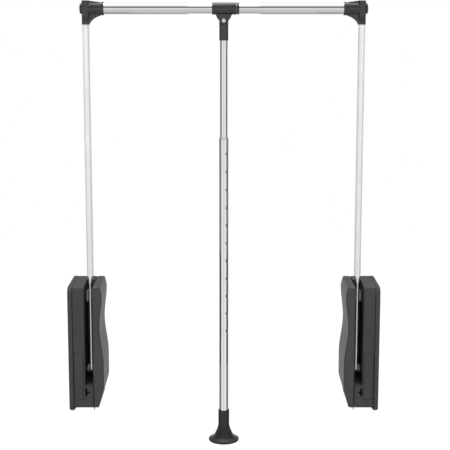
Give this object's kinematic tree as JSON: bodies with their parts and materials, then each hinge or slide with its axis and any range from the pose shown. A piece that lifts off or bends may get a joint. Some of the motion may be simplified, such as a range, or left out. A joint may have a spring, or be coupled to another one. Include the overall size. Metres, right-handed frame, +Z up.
{
  "type": "pull down closet rod",
  "caption": "Wardrobe lift: sprung arms in wall housings swing a telescopic hanging rail forward and down, drawn by a pull rod with a bell grip.",
  "frame": {"origin": "on the left housing's wall face, on the arms' pivot axis", "axes": "+X from the left wall to the right wall, -Y to the user in front, +Z up"},
  "size_m": [0.662, 0.115, 0.9537],
  "materials": {
    "housing_plastic": "fine moulded texture, charcoal black",
    "cover_plastic": "fine moulded texture, charcoal black",
    "yoke_plastic": "smooth moulded black plastic, slight sheen",
    "grip_plastic": "smooth moulded black plastic, slight sheen",
    "bearing_plastic": "plain moulded grey plastic",
    "tube_chrome": "bright polished plating",
    "arm_paint": "satin light grey coating on steel",
    "plate_steel": "plain rolled sheet",
    "spring_steel": "oil-tempered dark wire",
    "zinc": "zinc plated"
  },
  "bodies": {
    "left_housing": {"left_base_plate": "housing_plastic", "left_housing_body": "housing_plastic", "left_screw_strip": "housing_plastic", "left_side_plate": "plate_steel", "left_side_cover": "cover_plastic", "left_housing_screw_upper": "zinc", "left_housing_screw_rear": "zinc", "left_housing_screw_front": "zinc", "left_wall_bush": "bearing_plastic", "left_plate_bush": "bearing_plastic", "left_spring_seat": "housing_plastic", "left_guide_rod": "zinc", "left_spring": "spring_steel", "left_stop_buffer": "bearing_plastic"},
    "left_arm": {"left_arm_tube": "arm_paint", "left_pivot_shaft": "zinc", "left_shaft_clip": "spring_steel", "left_crank": "plate_steel", "left_corner_connector": "yoke_plastic", "left_corner_cap": "yoke_plastic", "left_outer_rail": "tube_chrome"},
    "left_crosshead": {"left_crosshead": "bearing_plastic"},
    "centre_rail": {"inner_rail": "tube_chrome", "left_rail_plug": "bearing_plastic", "right_rail_plug": "bearing_plastic"},
    "right_arm": {"right_arm_tube": "arm_paint", "right_pivot_shaft": "zinc", "right_shaft_clip": "spring_steel", "right_crank": "plate_steel", "right_corner_connector": "yoke_plastic", "right_corner_cap": "yoke_plastic", "right_outer_rail": "tube_chrome"},
    "right_housing": {"right_base_plate": "housing_plastic", "right_housing_body": "housing_plastic", "right_screw_strip": "housing_plastic", "right_side_plate": "plate_steel", "right_side_cover": "cover_plastic", "right_housing_screw_upper": "zinc", "right_housing_screw_rear": "zinc", "right_housing_screw_front": "zinc", "right_wall_bush": "bearing_plastic", "right_plate_bush": "bearing_plastic", "right_spring_seat": "housing_plastic", "right_guide_rod": "zinc", "right_spring": "spring_steel", "right_stop_buffer": "bearing_plastic"},
    "right_crosshead": {"right_crosshead": "bearing_plastic"},
    "yoke": {"yoke_body": "yoke_plastic", "yoke_ring": "yoke_plastic", "yoke_pin": "tube_chrome", "pin_washer": "yoke_plastic", "pin_collar": "zinc"},
    "upper_pull_rod": {"rod_socket": "yoke_plastic", "set_screw": "spring_steel", "upper_rod": "tube_chrome", "rod_plug": "bearing_plastic"},
    "rod_catch": {"catch_button": "zinc"},
    "lower_pull_rod": {"lower_rod": "tube_chrome", "rod_guide": "bearing_plastic", "bell_grip": "grip_plastic"}
  },
  "joints": [
    {"name": "lift_swing", "type": "hinge", "parent": "left_housing", "child": "left_arm", "pos_m": [0.0435, 0, 0], "axis": [1, 0, 0], "range_deg": [0, 95], "stiffness_Nm_per_rad": 20, "springref_deg": -28.65},
    {"name": "left_crosshead_lift", "type": "slide", "parent": "left_housing", "child": "left_crosshead", "axis": [0, 0, 1], "range_m": [0, 0.0384], "deforming": ["left_spring"]},
    {"name": "left_rail_slide", "type": "slide", "parent": "left_arm", "child": "centre_rail", "axis": [1, 0, 0], "range_m": [-0.036, 0.084]},
    {"name": "right_rail_slide", "type": "slide", "parent": "centre_rail", "child": "right_arm", "axis": [1, 0, 0], "range_m": [-0.036, 0.084]},
    {"name": "right_housing_pivot", "type": "hinge", "parent": "right_arm", "child": "right_housing", "pos_m": [0.6185, 0, 0], "axis": [1, 0, 0], "range_deg": [-95, 0]},
    {"name": "right_crosshead_lift", "type": "slide", "parent": "right_housing", "child": "right_crosshead", "axis": [0, 0, 1], "range_m": [0, 0.0384], "deforming": ["right_spring"]},
    {"name": "yoke_turn", "type": "hinge", "parent": "centre_rail", "child": "yoke", "pos_m": [0.331, 0, 0.773], "axis": [1, 0, 0], "continuous": true},
    {"name": "rod_tilt", "type": "hinge", "parent": "yoke", "child": "upper_pull_rod", "pos_m": [0.331, 0, 0.7482], "axis": [0, 1, 0], "range_deg": [-12, 12]},
    {"name": "rod_telescope", "type": "slide", "parent": "upper_pull_rod", "child": "lower_pull_rod", "axis": [0, 0, -1], "range_m": [0, 0.385]},
    {"name": "rod_button", "type": "slide", "parent": "upper_pull_rod", "child": "rod_catch", "axis": [0.7314, -0.682, 0], "range_m": [0, 0.0018], "stiffness_N_per_m": 300, "springref_m": 0.004}
  ],
  "couplings": [
    {"joint": "right_housing_pivot", "follows": "lift_swing", "ratio": -1},
    {"joint": "left_crosshead_lift", "follows": "lift_swing", "m_per_rad": 0.0231},
    {"joint": "right_crosshead_lift", "follows": "lift_swing", "m_per_rad": 0.0231}
  ]
}
